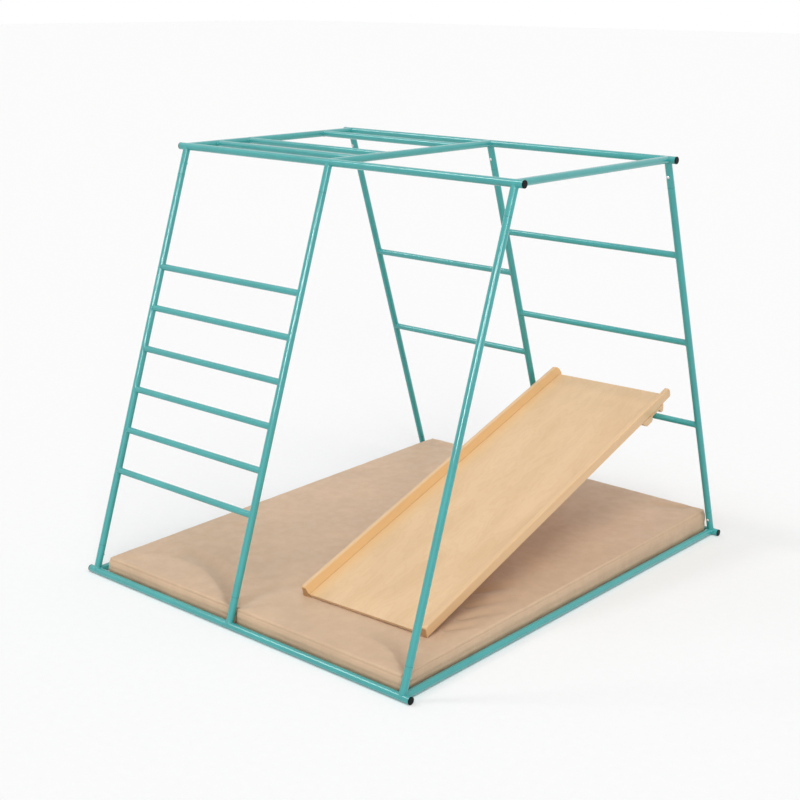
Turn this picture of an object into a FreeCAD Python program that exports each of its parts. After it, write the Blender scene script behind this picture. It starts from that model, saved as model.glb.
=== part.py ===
import FreeCAD
import Part

import math
import os

# Indoor climbing frame for children: a tube frame on two base rails, six leaning legs,
# ladder rungs, hand bars overhead, a mat inside the base and a wooden slide on one rung.
# Millimetres. X runs along the near rail, Y away from the viewer, Z up.
# The origin is on the floor, in the middle of the frame.

Vector = FreeCAD.Vector

# The frame's driving sizes
frame_height = 1300.0
base_spacing = 1594.0
top_spacing = 747.0
left_bay = 604.5
right_bay = 653.5
rail_overhang = 28.0

# Tubes of the rails, cross tubes and legs
tube_diameter = 22.0
tube_wall = 1.5

# Tubes of the rungs and hand bars
rung_diameter = 20.0
rung_wall = 1.5

# Heights of the rungs' axes above the floor
near_rung_lowest = 315.5
near_rung_pitch = 122.7
near_rung_count = 6
far_left_rung_lowest = 554.5
far_left_rung_pitch = 293.0
far_left_rung_count = 2
far_right_rung_lowest = 413.0
far_right_rung_pitch = 290.0
far_right_rung_count = 3

# Places of the hand bars, measured between axes from the top rails
hand_bar_from_near_rail = 127.0
hand_bar_pitch = 134.0
hand_bar_from_far_rail = 143.0

# Leg joints: a stub on the rail, a sleeve inside both tubes and one screw from inside.
# Their places are measured along the leg from the rail's axis.
top_socket_length = 87.0
base_socket_length = 82.0
screw_from_rail = 51.5
leg_joint_gap = 0.3
sleeve_length = 110.0
sleeve_wall = 3.0
sleeve_clearance = 0.1

# Button-head screw of a leg joint
screw_diameter = 6.0
screw_length = 9.0
screw_hole_clearance = 0.2
screw_thread_clearance = 0.05
screw_head_diameter = 10.5
screw_head_height = 3.3
screw_head_edge = 0.8
screw_key_width = 4.0
screw_key_depth = 1.8

# End caps of the rails
cap_flange = 3.0
cap_edge_radius = 1.2
cap_plug_length = 18.0
cap_plug_clearance = 0.1

# The mat, a little loose between the base tubes, and fuller toward its far edge
mat_gap_left = 24.5
mat_gap_right = 3.0
mat_gap_near = 3.5
mat_gap_far = 2.0
mat_narrowing = 9.0
mat_near_height = 60.0
mat_far_height = 88.5
mat_crown = 1.2
mat_floor_press = 1.0
mat_side_bulge = 4.5
mat_edge_radius = 5.0
mat_corner_radius = 5.0
mat_face_angles = (20, 50, 90)
mat_edge_angles = (45, 90)
mat_cover_thickness = 2.0
mat_core_clearance = 0.3
mat_notch_side_gap = 1.5
mat_notch_depth_gap = 3.0

# The slide
slide_length = 1390.5
slide_width = 455.2
slide_skew_degrees = 2.53
slide_gap_to_middle_leg = 29.6
slide_rung_from_top_end = 104.5
slide_rail_thickness = 26.0
slide_rail_height = 34.6
slide_rail_slope_width = 12.0
slide_rail_edge_radius = 4.0
slide_rail_low_end_radius = 9.0
slide_rail_top_end_radius = 15.0
slide_rail_heel_radius = 7.0
deck_thickness = 8.0
deck_depth_in_rail = 24.0
deck_groove_depth = 8.0
deck_groove_clearance = 0.1
deck_low_end_inset = 2.0
deck_top_end_inset = 13.0

# The hooks under the slide's rails, round the lowest rung of the far right panel
hook_web = 8.0
hook_depth = 24.0
hook_near_lobe = 39.0
hook_far_lobe = 23.0
hook_near_slope = 22.0
hook_far_slope = 6.0
hook_lobe_radius = 8.0
hook_notch_radius = 6.0
hook_near_play = 14.5
hook_screw_diameter = 4.5
hook_screw_length = 42.0
hook_screw_head_diameter = 9.0
hook_screw_head_height = 2.8
hook_screw_sink = 3.0
hook_screw_hole_clearance = 0.1
hook_screw_key_width = 1.2
hook_screw_key_depth = 1.2

# Clearances and cutting
weld_gap = 0.05
seat_gap = 0.3
overrun = 5.0

NEAR = -1
FAR = 1

# Places worked out from the driving sizes
tube_radius = tube_diameter / 2
rung_radius = rung_diameter / 2
base_axis_height = tube_radius
top_axis_height = frame_height - tube_radius
left_x = -(left_bay + right_bay) / 2
middle_x = left_x + left_bay
right_x = middle_x + right_bay
leg_places = (("left", left_x), ("middle", middle_x), ("right", right_x))
side_places = (("near", NEAR), ("far", FAR))


def half_spacing(height):
    """Distance of a leg's axis from the frame's middle plane, at a height."""
    share = (height - base_axis_height) / (top_axis_height - base_axis_height)
    return base_spacing / 2 + (top_spacing - base_spacing) / 2 * share


def leg_point(x, side, height):
    """Point of a leg's axis at a height."""
    return Vector(x, side * half_spacing(height), height)


def leg_direction(side):
    """Unit vector up along a leg."""
    rise = leg_point(0, side, top_axis_height) - leg_point(0, side, base_axis_height)
    return rise.normalize()


def inward_normal(side):
    """Unit vector out of a leg's inner face, square to the leg."""
    up = leg_direction(side)
    return Vector(0, -side * up.z, side * up.y)


def rod(start, end, diameter):
    """Solid round bar between two points."""
    return Part.makeCylinder(diameter / 2, (end - start).Length, start, end - start)


def tube(start, end, diameter, wall):
    """Round tube between two points."""
    return rod(start, end, diameter).cut(rod(start, end, diameter - 2 * wall))


def main_tube(start, end):
    return tube(start, end, tube_diameter, tube_wall)


def coping_rod(start, end):
    """Cutter that shapes a tube's end to the main tube it is welded to."""
    return rod(start, end, tube_diameter + 2 * weld_gap)


def turned_to(shape, origin, axis):
    """Move a shape that stands on the origin along Z to a point, along an axis."""
    turn = FreeCAD.Rotation(Vector(0, 0, 1), axis)
    placed = shape.copy()
    placed.Placement = FreeCAD.Placement(origin, turn).multiply(shape.Placement)
    return placed


def rounded_outline(corners):
    """Closed wire through corners given as (point, radius), with tangent arcs."""
    edges = []
    starts = []
    ends = []
    count = len(corners)
    for index, (point, radius) in enumerate(corners):
        before = (corners[index - 1][0] - point).normalize()
        after = (corners[(index + 1) % count][0] - point).normalize()
        half_turn = before.getAngle(after) / 2
        reach = radius / math.tan(half_turn)
        starts.append(point + before * reach)
        ends.append(point + after * reach)
        if radius > 0:
            middle = (before + after).normalize()
            centre = point + middle * (radius / math.sin(half_turn))
            edges.append(Part.Arc(starts[-1], centre - middle * radius, ends[-1]).toShape())
        else:
            edges.append(None)
    outline = []
    for index in range(count):
        if edges[index] is not None:
            outline.append(edges[index])
        following = starts[(index + 1) % count]
        if (following - ends[index]).Length > Part.Precision.confusion():
            outline.append(Part.LineSegment(ends[index], following).toShape())
    return Part.Wire(outline)


def rail_ends(side, height):
    """End points of a rail's tube."""
    y = side * half_spacing(height)
    start = Vector(left_x - rail_overhang, y, height)
    end = Vector(right_x + rail_overhang, y, height)
    return start, end


def cross_ends(x, height):
    """Axis points of a cross tube, from the near rail's axis to the far rail's."""
    return leg_point(x, NEAR, height), leg_point(x, FAR, height)


def make_rails():
    """Two base rails and two top rails, along X."""
    parts = {}
    for side_name, side in side_places:
        parts["base_rail_" + side_name] = main_tube(*rail_ends(side, base_axis_height))
        parts["top_rail_" + side_name] = main_tube(*rail_ends(side, top_axis_height))
    return parts


def coped_cross(x, height):
    """Cross tube with its ends shaped to the near and far rails."""
    cross = main_tube(*cross_ends(x, height))
    for _, side in side_places:
        cross = cross.cut(coping_rod(*rail_ends(side, height)))
    return cross


def make_cross_tubes():
    """Cross tubes at both ends of the base, and over all three pairs of legs."""
    parts = {}
    for name, x in leg_places:
        if name != "middle":
            parts["base_cross_" + name] = coped_cross(x, base_axis_height)
        parts["top_cross_" + name] = coped_cross(x, top_axis_height)
    return parts


def make_hand_bars():
    """Bars overhead in the left bay, between the left and the middle cross tube."""
    near_y = -top_spacing / 2
    far_y = top_spacing / 2
    places = (
        ("near", near_y + hand_bar_from_near_rail),
        ("inner", near_y + hand_bar_from_near_rail + hand_bar_pitch),
        ("far", far_y - hand_bar_from_far_rail),
    )
    parts = {}
    for name, y in places:
        start = Vector(left_x, y, top_axis_height)
        end = Vector(middle_x, y, top_axis_height)
        bar = tube(start, end, rung_diameter, rung_wall)
        for x in (left_x, middle_x):
            bar = bar.cut(coping_rod(*cross_ends(x, top_axis_height)))
        parts["hand_bar_" + name] = bar
    return parts


def leg_joint_point(x, side, end, distance):
    """Point of a leg's axis, at a distance from the base or the top rail's axis."""
    if end == "base":
        return leg_point(x, side, base_axis_height) + leg_direction(side) * distance
    return leg_point(x, side, top_axis_height) - leg_direction(side) * distance


def joint_point(x, side, end):
    """Point of a leg's axis in the middle of its joint line."""
    length = base_socket_length if end == "base" else top_socket_length
    return leg_joint_point(x, side, end, length)


def screw_hole(x, side, end, clearance):
    """Cutter for a leg screw, from the leg's axis out through its inner wall."""
    centre = leg_joint_point(x, side, end, screw_from_rail)
    outward = inward_normal(side) * (tube_radius + overrun)
    return rod(centre, centre + outward, screw_diameter + 2 * clearance)


def make_socket(name, x, side, end):
    """Stub of leg tube on a rail, shaped to the rail and to the cross tube beside it."""
    height = base_axis_height if end == "base" else top_axis_height
    foot = leg_point(x, side, height)
    toward_joint = joint_point(x, side, end) - foot
    length = toward_joint.Length - leg_joint_gap / 2
    socket = main_tube(foot, foot + toward_joint.normalize() * length)
    socket = socket.cut(coping_rod(*rail_ends(side, height)))
    if end == "top" or name != "middle":
        socket = socket.cut(coping_rod(*cross_ends(x, height)))
    return socket.cut(screw_hole(x, side, end, screw_hole_clearance))


def make_legs():
    """Legs between their sockets, with a fine joint line at each end."""
    parts = {}
    for side_name, side in side_places:
        half_gap = leg_direction(side) * (leg_joint_gap / 2)
        for name, x in leg_places:
            start = joint_point(x, side, "base") + half_gap
            end = joint_point(x, side, "top") - half_gap
            parts["leg_" + side_name + "_" + name] = main_tube(start, end)
    return parts


def make_sockets():
    """The twelve stubs that the legs are plugged onto."""
    parts = {}
    for side_name, side in side_places:
        for name, x in leg_places:
            for end in ("base", "top"):
                node = end + "_socket_" + side_name + "_" + name
                parts[node] = make_socket(name, x, side, end)
    return parts


def make_sleeve(x, side, end):
    """Inner sleeve that bridges a leg's joint line."""
    half = leg_direction(side) * (sleeve_length / 2)
    centre = joint_point(x, side, end)
    diameter = tube_diameter - 2 * tube_wall - 2 * sleeve_clearance
    sleeve = tube(centre - half, centre + half, diameter, sleeve_wall)
    return sleeve.cut(screw_hole(x, side, end, screw_thread_clearance))


def hexagon_prism(width, height):
    """Hexagonal prism on the origin, given its width across flats."""
    radius = width / math.sqrt(3)
    corners = []
    for step in range(6):
        angle = math.radians(60 * step)
        corners.append(Vector(radius * math.cos(angle), radius * math.sin(angle), 0))
    corners.append(corners[0])
    return Part.Face(Part.makePolygon(corners)).extrude(Vector(0, 0, height))


def make_leg_screw(x, side, end):
    """Button-head screw: the head's underside rests on the socket, the shank goes in."""
    head_radius = screw_head_diameter / 2
    rise = screw_head_height - screw_head_edge
    dome_radius = (head_radius ** 2 + rise ** 2) / (2 * rise)
    half_angle = math.asin(head_radius / dome_radius) / 2
    dome_shoulder = Vector(
        dome_radius * math.sin(half_angle),
        0,
        screw_head_height - dome_radius * (1 - math.cos(half_angle)),
    )
    head_top = Vector(0, 0, screw_head_height)
    rim_top = Vector(head_radius, 0, screw_head_edge)
    outline = [Part.Arc(head_top, dome_shoulder, rim_top).toShape()]
    corners = (
        rim_top,
        Vector(head_radius, 0, 0),
        Vector(screw_diameter / 2, 0, 0),
        Vector(screw_diameter / 2, 0, -screw_length),
        Vector(0, 0, -screw_length),
        head_top,
    )
    for start, finish in zip(corners, corners[1:]):
        outline.append(Part.LineSegment(start, finish).toShape())
    profile = Part.Face(Part.Wire(outline))
    screw = profile.revolve(Vector(0, 0, 0), Vector(0, 0, 1), 360)
    key = hexagon_prism(screw_key_width, screw_key_depth + overrun)
    key.translate(Vector(0, 0, screw_head_height - screw_key_depth))
    outward = inward_normal(side)
    seat = leg_joint_point(x, side, end, screw_from_rail) + outward * tube_radius
    return turned_to(screw.cut(key), seat, outward)


def make_joint_fittings():
    """Sleeves and screws of the leg joints, one group of each at the base and the top."""
    parts = {}
    for end in ("base", "top"):
        sleeves = []
        screws = []
        for _, side in side_places:
            for _, x in leg_places:
                sleeves.append(make_sleeve(x, side, end))
                screws.append(make_leg_screw(x, side, end))
        parts[end + "_joint_sleeves"] = Part.makeCompound(sleeves)
        parts[end + "_joint_screws"] = Part.makeCompound(screws)
    return parts


def make_end_cap(end, outward):
    """Plastic cap: a flange over the tube's end and a plug inside it."""
    flange = Part.makeCylinder(tube_radius, cap_flange)
    rims = [edge for edge in flange.Edges if edge.Closed and edge.CenterOfMass.z > cap_flange / 2]
    flange = flange.makeFillet(cap_edge_radius, rims)
    plug_radius = tube_radius - tube_wall - cap_plug_clearance
    plug = Part.makeCylinder(plug_radius, cap_plug_length, Vector(0, 0, 0), Vector(0, 0, -1))
    return turned_to(flange.fuse(plug).removeSplitter(), end, outward)


def make_end_caps():
    """Eight caps, one on each end of the four rails."""
    caps = []
    for _, side in side_places:
        for height in (base_axis_height, top_axis_height):
            start, end = rail_ends(side, height)
            caps.append(make_end_cap(start, Vector(-1, 0, 0)))
            caps.append(make_end_cap(end, Vector(1, 0, 0)))
    return {"rail_end_caps": Part.makeCompound(caps)}


def make_rung(side, height, from_x, to_x):
    """Rung with its ends shaped to two neighbouring legs."""
    start = leg_point(from_x, side, height)
    end = leg_point(to_x, side, height)
    rung = tube(start, end, rung_diameter, rung_wall)
    for x in (from_x, to_x):
        foot = leg_point(x, side, base_axis_height)
        head = leg_point(x, side, top_axis_height)
        rung = rung.cut(coping_rod(foot, head))
    return rung


def make_rungs():
    """The near ladder in the left bay, and the wide rungs of both far bays."""
    parts = {}
    for step in range(near_rung_count):
        height = near_rung_lowest + step * near_rung_pitch
        parts["rung_near_" + str(step + 1)] = make_rung(NEAR, height, left_x, middle_x)
    for step in range(far_left_rung_count):
        height = far_left_rung_lowest + step * far_left_rung_pitch
        parts["rung_far_left_" + str(step + 1)] = make_rung(FAR, height, left_x, middle_x)
    for step in range(far_right_rung_count):
        height = far_right_rung_lowest + step * far_right_rung_pitch
        parts["rung_far_right_" + str(step + 1)] = make_rung(FAR, height, middle_x, right_x)
    return parts


# Edges of the mat's outer form in plan
mat_left = left_x + tube_radius + mat_gap_left
mat_right = right_x - tube_radius - mat_gap_right
mat_near = -(base_spacing / 2 - tube_radius - mat_gap_near)
mat_far = base_spacing / 2 - tube_radius - mat_gap_far
mat_length = mat_far - mat_near


def mat_edge_height(y):
    """Height of the mat's upper edge, which rises evenly from near to far."""
    return mat_near_height + (mat_far_height - mat_near_height) * (y - mat_near) / mat_length


def mat_top_height(y):
    """Height of the mat along its middle."""
    return mat_edge_height(y) + mat_crown


def mat_section(y, skin, side_inset, height_inset):
    """Closed outline of the mat across X: flat below, full sides and a low crown.

    skin moves the whole outline inward, and the insets draw it in near the mat's ends."""
    narrowing = mat_narrowing * (y - mat_near) / mat_length
    left = mat_left + narrowing + skin + side_inset
    right = mat_right - skin - side_inset
    low = skin + height_inset - mat_floor_press
    high = mat_edge_height(y) - skin - height_inset
    bulge = mat_side_bulge * (high - low) / mat_edge_height(y)
    radius = mat_edge_radius - skin
    slant = radius * (1 - math.cos(math.radians(45)))
    inner_left = left + bulge
    inner_right = right - bulge
    waist = (low + high) / 2
    middle = (left + right) / 2
    bottom = Part.LineSegment(
        Vector(inner_left + radius, y, low),
        Vector(inner_right - radius, y, low),
    )
    low_right_corner = Part.Arc(
        Vector(inner_right - radius, y, low),
        Vector(inner_right - slant, y, low + slant),
        Vector(inner_right, y, low + radius),
    )
    right_side = Part.Arc(
        Vector(inner_right, y, low + radius),
        Vector(right, y, waist),
        Vector(inner_right, y, high - radius),
    )
    high_right_corner = Part.Arc(
        Vector(inner_right, y, high - radius),
        Vector(inner_right - slant, y, high - slant),
        Vector(inner_right - radius, y, high),
    )
    top = Part.Arc(
        Vector(inner_right - radius, y, high),
        Vector(middle, y, high + mat_crown),
        Vector(inner_left + radius, y, high),
    )
    high_left_corner = Part.Arc(
        Vector(inner_left + radius, y, high),
        Vector(inner_left + slant, y, high - slant),
        Vector(inner_left, y, high - radius),
    )
    left_side = Part.Arc(
        Vector(inner_left, y, high - radius),
        Vector(left, y, waist),
        Vector(inner_left, y, low + radius),
    )
    low_left_corner = Part.Arc(
        Vector(inner_left, y, low + radius),
        Vector(inner_left + slant, y, low + slant),
        Vector(inner_left + radius, y, low),
    )
    outline = (
        bottom,
        low_right_corner,
        right_side,
        high_right_corner,
        top,
        high_left_corner,
        left_side,
        low_left_corner,
    )
    return Part.Wire([curve.toShape() for curve in outline])


def mat_end_insets(height, skin):
    """Insets of the sections at one end: (along the mat, at its sides, in its height)."""
    radius = mat_edge_radius - skin
    insets = []
    for angle in mat_face_angles:
        along = mat_side_bulge * (1 - math.cos(math.radians(angle)))
        lift = (height / 2 - mat_edge_radius) * (1 - math.sin(math.radians(angle)))
        insets.append((along, radius + lift))
    for angle in mat_edge_angles:
        along = mat_side_bulge + radius * (1 - math.cos(math.radians(angle)))
        insets.append((along, radius * (1 - math.sin(math.radians(angle)))))
    ends = []
    for along, lift in insets:
        short = max(mat_corner_radius - along, 0)
        side = mat_corner_radius - math.sqrt(mat_corner_radius ** 2 - short ** 2)
        ends.append((along, side, lift))
    return ends


def mat_form(skin):
    """The mat's padded form, moved inward by skin, with full near and far faces."""
    near = mat_near + skin
    far = mat_far - skin
    sections = []
    for along, side, lift in mat_end_insets(mat_near_height, skin):
        sections.append(mat_section(near + along, skin, side, lift))
    for along, side, lift in reversed(mat_end_insets(mat_far_height, skin)):
        sections.append(mat_section(far - along, skin, side, lift))
    return Part.makeLoft(sections, True, True)


def mat_floor_cutter(skin):
    """Cutter under the mat, whose foam the floor presses flat, moved up by skin."""
    width = mat_right - mat_left + 2 * overrun
    depth = mat_floor_press + overrun
    corner = Vector(mat_left - overrun, mat_near - overrun, skin - depth)
    return Part.makeBox(width, mat_length + 2 * overrun, depth, corner)


def mat_notch(side, skin):
    """Cutter for the notch round a middle leg, widened by skin."""
    edge = mat_near if side == NEAR else mat_far
    top = mat_top_height(edge)
    half_width = tube_radius + mat_notch_side_gap + skin
    reach = half_spacing(top) - tube_radius - screw_head_height - mat_notch_depth_gap - skin
    outside = abs(edge) + overrun
    corner = Vector(middle_x - half_width, min(side * reach, side * outside), -overrun)
    return Part.makeBox(2 * half_width, outside - reach, top + 2 * overrun, corner)


def notched_mat_form(skin):
    form = mat_form(skin).cut(mat_floor_cutter(skin))
    for side in (NEAR, FAR):
        form = form.cut(mat_notch(side, skin))
    return form


def make_mat():
    """Sewn cover with a foam core inside it."""
    cover = notched_mat_form(0).cut(notched_mat_form(mat_cover_thickness))
    core = notched_mat_form(mat_cover_thickness + mat_core_clearance)
    return {"mat_cover": cover, "mat_core": core}


# The slide is built along its own axes: X across, Y up along its rails, Z out of its deck.
# Its origin is the low outer corner of its right rail.
slide_skew = math.radians(slide_skew_degrees)
slide_rung_from_low_end = slide_length - slide_rung_from_top_end
slide_rung_depth = hook_web + seat_gap + rung_radius
slide_rung_reach = math.hypot(slide_rung_from_low_end, slide_rung_depth)
slide_rung_point = leg_point(0, FAR, far_right_rung_lowest)
deck_top = slide_rail_height - deck_depth_in_rail
deck_low = deck_top - deck_thickness


def slide_axes(tilt):
    """Directions across, along and out of the slide at a tilt."""
    across = Vector(math.cos(slide_skew), math.sin(slide_skew), 0)
    along = Vector(
        -math.sin(slide_skew) * math.cos(tilt),
        math.cos(slide_skew) * math.cos(tilt),
        math.sin(tilt),
    )
    return across, along, across.cross(along)


def slide_origin(tilt):
    """Low outer corner of the right rail, when the right hook sits on the rung."""
    _, along, normal = slide_axes(tilt)
    left_face = middle_x + tube_radius + slide_gap_to_middle_leg
    right_face = left_face + slide_width / math.cos(slide_skew)
    rung = Vector(right_face, slide_rung_point.y, slide_rung_point.z)
    return rung - along * slide_rung_from_low_end + normal * slide_rung_depth


def resting_tilt():
    """Tilt at which the hook sits on the rung and the low end on the mat."""
    hang = math.atan2(slide_rung_depth, slide_rung_from_low_end)
    tilt = hang
    for _ in range(8):
        mat_height = mat_top_height(slide_origin(tilt).y)
        fall = slide_rung_point.z - mat_height - seat_gap
        tilt = hang + math.asin(fall / slide_rung_reach)
    return tilt


slide_tilt = resting_tilt()


def on_slide(shape):
    """Move a shape from the slide's own axes to its place on the frame."""
    across, along, normal = slide_axes(slide_tilt)
    turn = FreeCAD.Rotation(across, along, normal, "XYZ")
    placement = FreeCAD.Placement(slide_origin(slide_tilt), turn)
    placed = shape.copy()
    placed.Placement = placement.multiply(shape.Placement)
    return placed


def side_prism(corners, outer_x):
    """Prism of a rail's thickness, from an outline of (along, out, radius) corners."""
    points = [(Vector(outer_x - slide_rail_thickness, along, out), radius) for along, out, radius in corners]
    return Part.Face(rounded_outline(points)).extrude(Vector(slide_rail_thickness, 0, 0))


def rail_section_prism(outer_side, inner_side):
    """Prism along the slide with a rail's section, whose inner face slopes back above the deck."""
    inward = math.copysign(1, inner_side - outer_side)
    corners = (
        (outer_side, 0, 0),
        (outer_side, slide_rail_height, 0),
        (inner_side - inward * slide_rail_slope_width, slide_rail_height, slide_rail_edge_radius),
        (inner_side, deck_top, 0),
        (inner_side, 0, slide_rail_edge_radius),
    )
    points = [(Vector(x, -overrun, out), radius) for x, out, radius in corners]
    return Part.Face(rounded_outline(points)).extrude(Vector(0, slide_length + 2 * overrun, 0))


def side_face_edges(shape, side):
    """Edges of a rail that lie in the side face at this place across the slide."""
    edges = []
    for edge in shape.Edges:
        box = edge.BoundBox
        if box.XLength < Part.Precision.confusion() and abs(box.XMin - side) < Part.Precision.confusion():
            edges.append(edge)
    return edges


def make_slide_rail(outer_side, inner_side, groove_x):
    """Side rail with rounded ends and arrises, and a groove for the deck."""
    corners = (
        (0, 0, 0),
        (0, slide_rail_height, slide_rail_low_end_radius),
        (slide_length, slide_rail_height, slide_rail_top_end_radius),
        (slide_length, 0, slide_rail_heel_radius),
    )
    rail = side_prism(corners, max(outer_side, inner_side))
    rail = rail.common(rail_section_prism(outer_side, inner_side))
    rail = rail.makeFillet(slide_rail_edge_radius, side_face_edges(rail, outer_side))
    groove_width = deck_groove_depth + overrun
    groove_height = deck_thickness + 2 * deck_groove_clearance
    groove_length = slide_length - deck_top_end_inset + deck_groove_clearance + overrun
    groove = Part.makeBox(groove_width, groove_length, groove_height)
    groove.translate(Vector(groove_x, -overrun, deck_low - deck_groove_clearance))
    return rail.cut(groove)


def make_deck():
    """Plywood deck, its long edges in the rails' grooves."""
    hidden = deck_groove_depth - deck_groove_clearance
    width = slide_width - 2 * slide_rail_thickness + 2 * hidden
    length = slide_length - deck_low_end_inset - deck_top_end_inset
    deck = Part.makeBox(width, length, deck_thickness)
    deck.translate(Vector(slide_rail_thickness - hidden - slide_width, deck_low_end_inset, deck_low))
    return deck


def rung_shift_across_slide():
    """How far along the slide the rung drifts from the right face to the left one."""
    return slide_width * math.tan(slide_skew) * math.cos(slide_tilt)


def hook_walls():
    """Places along the slide of the notch's near and far walls."""
    near_wall = slide_rung_from_low_end - rung_radius - hook_near_play
    far_wall = slide_rung_from_low_end + rung_shift_across_slide() + rung_radius + seat_gap
    return near_wall, far_wall


def hook_screw_places():
    """Places along the slide of a hook's two screws, in the middle of its lobes."""
    near_wall, far_wall = hook_walls()
    return near_wall - hook_near_lobe / 2, far_wall + hook_far_lobe / 2


def hook_screw_cutter(x, along):
    """Cutter for a countersunk screw that goes up through the hook into the rail."""
    seat = Vector(x, along, hook_screw_sink - hook_depth)
    tip = seat + Vector(0, 0, hook_screw_length)
    shank = rod(seat, tip, hook_screw_diameter + 2 * hook_screw_hole_clearance)
    head_radius = hook_screw_head_diameter / 2 + hook_screw_hole_clearance
    pocket = Part.makeCylinder(head_radius, hook_screw_sink + overrun, seat, Vector(0, 0, -1))
    shank_radius = hook_screw_diameter / 2 + hook_screw_hole_clearance
    cone = Part.makeCone(head_radius, shank_radius, hook_screw_head_height, seat)
    return shank.fuse(cone).fuse(pocket)


def make_hook_screw(x, along):
    """Countersunk wood screw with a single slot."""
    seat = Vector(x, along, hook_screw_sink - hook_depth)
    head = Part.makeCone(
        hook_screw_head_diameter / 2, hook_screw_diameter / 2, hook_screw_head_height, seat
    )
    tip = seat + Vector(0, 0, hook_screw_length - hook_screw_hole_clearance)
    screw = head.fuse(rod(seat, tip, hook_screw_diameter)).removeSplitter()
    slot = Part.makeBox(hook_screw_key_width, hook_screw_head_diameter, hook_screw_key_depth + overrun)
    slot.translate(
        seat
        + Vector(-hook_screw_key_width / 2, -hook_screw_head_diameter / 2, -overrun)
    )
    return screw.cut(slot)


def make_hook(outer_x):
    """Wooden hook under a rail: two lobes with a notch that drops over the rung."""
    near_wall, far_wall = hook_walls()
    near_end = near_wall - hook_near_lobe
    far_end = far_wall + hook_far_lobe
    corners = (
        (near_end - hook_near_slope, 0, 0),
        (near_end, -hook_depth, hook_lobe_radius),
        (near_wall, -hook_depth, hook_lobe_radius),
        (near_wall, -hook_web, hook_notch_radius),
        (far_wall, -hook_web, hook_notch_radius),
        (far_wall, -hook_depth, hook_lobe_radius),
        (far_end - hook_far_slope, -hook_depth, hook_lobe_radius),
        (far_end, 0, 0),
    )
    return side_prism(corners, outer_x)


def make_slide():
    """Deck, two rails, two hooks and the hooks' screws."""
    outer_side = {"right": 0, "left": -slide_width}
    inner_side = {"right": -slide_rail_thickness, "left": slide_rail_thickness - slide_width}
    groove_x = {
        "right": -slide_rail_thickness - overrun,
        "left": slide_rail_thickness - slide_width - deck_groove_depth,
    }
    pieces = {"slide_deck": make_deck()}
    screws = []
    for name in ("right", "left"):
        rail = make_slide_rail(outer_side[name], inner_side[name], groove_x[name])
        hook = make_hook(max(outer_side[name], inner_side[name]))
        screw_x = (outer_side[name] + inner_side[name]) / 2
        for along in hook_screw_places():
            cutter = hook_screw_cutter(screw_x, along)
            rail = rail.cut(cutter)
            hook = hook.cut(cutter)
            screws.append(make_hook_screw(screw_x, along))
        pieces["slide_rail_" + name] = rail
        pieces["slide_hook_" + name] = hook
    pieces["slide_hook_screws"] = Part.makeCompound(screws)
    return {name: on_slide(shape) for name, shape in pieces.items()}


def make_all():
    parts = {}
    for maker in (
        make_rails,
        make_cross_tubes,
        make_hand_bars,
        make_legs,
        make_sockets,
        make_joint_fittings,
        make_end_caps,
        make_rungs,
        make_mat,
        make_slide,
    ):
        parts.update(maker())
    return parts


os.makedirs("parts", exist_ok=True)
for node, shape in make_all().items():
    shape.exportStep("parts/" + node + ".step")
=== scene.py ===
import math

import bmesh
import bpy
from mathutils import Euler, Matrix, Vector, noise


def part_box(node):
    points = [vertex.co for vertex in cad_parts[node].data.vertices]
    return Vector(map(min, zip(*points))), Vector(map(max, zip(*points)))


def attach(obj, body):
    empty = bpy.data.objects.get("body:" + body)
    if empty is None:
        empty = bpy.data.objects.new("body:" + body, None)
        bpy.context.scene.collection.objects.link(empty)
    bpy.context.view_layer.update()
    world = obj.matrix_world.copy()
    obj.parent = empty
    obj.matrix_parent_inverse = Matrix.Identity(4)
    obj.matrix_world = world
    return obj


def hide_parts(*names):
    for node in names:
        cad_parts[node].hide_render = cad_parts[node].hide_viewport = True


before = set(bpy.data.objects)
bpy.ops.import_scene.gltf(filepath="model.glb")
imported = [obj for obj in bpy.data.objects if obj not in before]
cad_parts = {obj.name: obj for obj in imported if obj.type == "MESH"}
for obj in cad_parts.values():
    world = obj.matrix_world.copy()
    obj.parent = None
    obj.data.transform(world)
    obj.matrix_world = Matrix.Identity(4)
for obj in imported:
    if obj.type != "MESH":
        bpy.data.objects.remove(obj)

bl_info = {
    "name": "Indoor climbing frame",
    "version": (1, 0, 0),
    "blender": (4, 5, 0),
    "location": "View3D > Sidebar > Climbing frame",
    "description": "Paint, welds, fittings, padded mat, wooden slide and stage of a climbing frame",
    "category": "Object",
}

AXIS_X = Vector((1, 0, 0))
AXIS_Y = Vector((0, 1, 0))
AXIS_Z = Vector((0, 0, 1))
# Length of the slide's low end that lies on the mat.
PRESSED_LENGTH = 0.07
# Outer radius of the frame's thicker tubes.
TUBE_RADIUS = 0.011

# Angle between two faces, in degrees, from which their edge is rounded.
SHARP_DEGREES = 45
# Sides of the small circle that is spun into a weld bead or a ring.
RING_SIDES = 8

# Tones of wood, as shares of its colour's three parts.
GOLDEN = (0.96, 0.93, 0.88)
GRAIN_LINE = (0.86, 0.74, 0.60)
PORE = (0.78, 0.66, 0.52)
# Painted warm light, bounced between the deck and the left rail.
BOUNCE_TONE = (1.02, 0.93, 0.72)
# Painted light on the rails' top faces.
TOP_LIGHT_TONE = (1.02, 1.04, 1.12)
# Darker end grain, also painted shade on the rails' ends and in the deck's joint line.
END_GRAIN_AND_SHADOW = (0.52, 0.42, 0.32)
# Darkenings of the leather: strength, and tone as a share of the cover's colour. The patches, pebbles and
# thread are the leather's own tone; the seam's groove and the folds get painted shade.
PATCH_STAIN = (0.16, 0.70)
PEBBLE_STAIN = (0.10, 0.55)
SEAM_SHADE = (0.20, 0.42)
THREAD_STAIN = (0.5, 0.95)
FOLD_SHADE = (0.42, 0.48)

# Range of a noise texture that is stretched to its full contrast.
NOISE_LOW = 0.3
NOISE_HIGH = 0.7

# Turn of the growth lines' wave, in radians, for a full drift at a wander of one.
WANDER_TURN = 30.0

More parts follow.
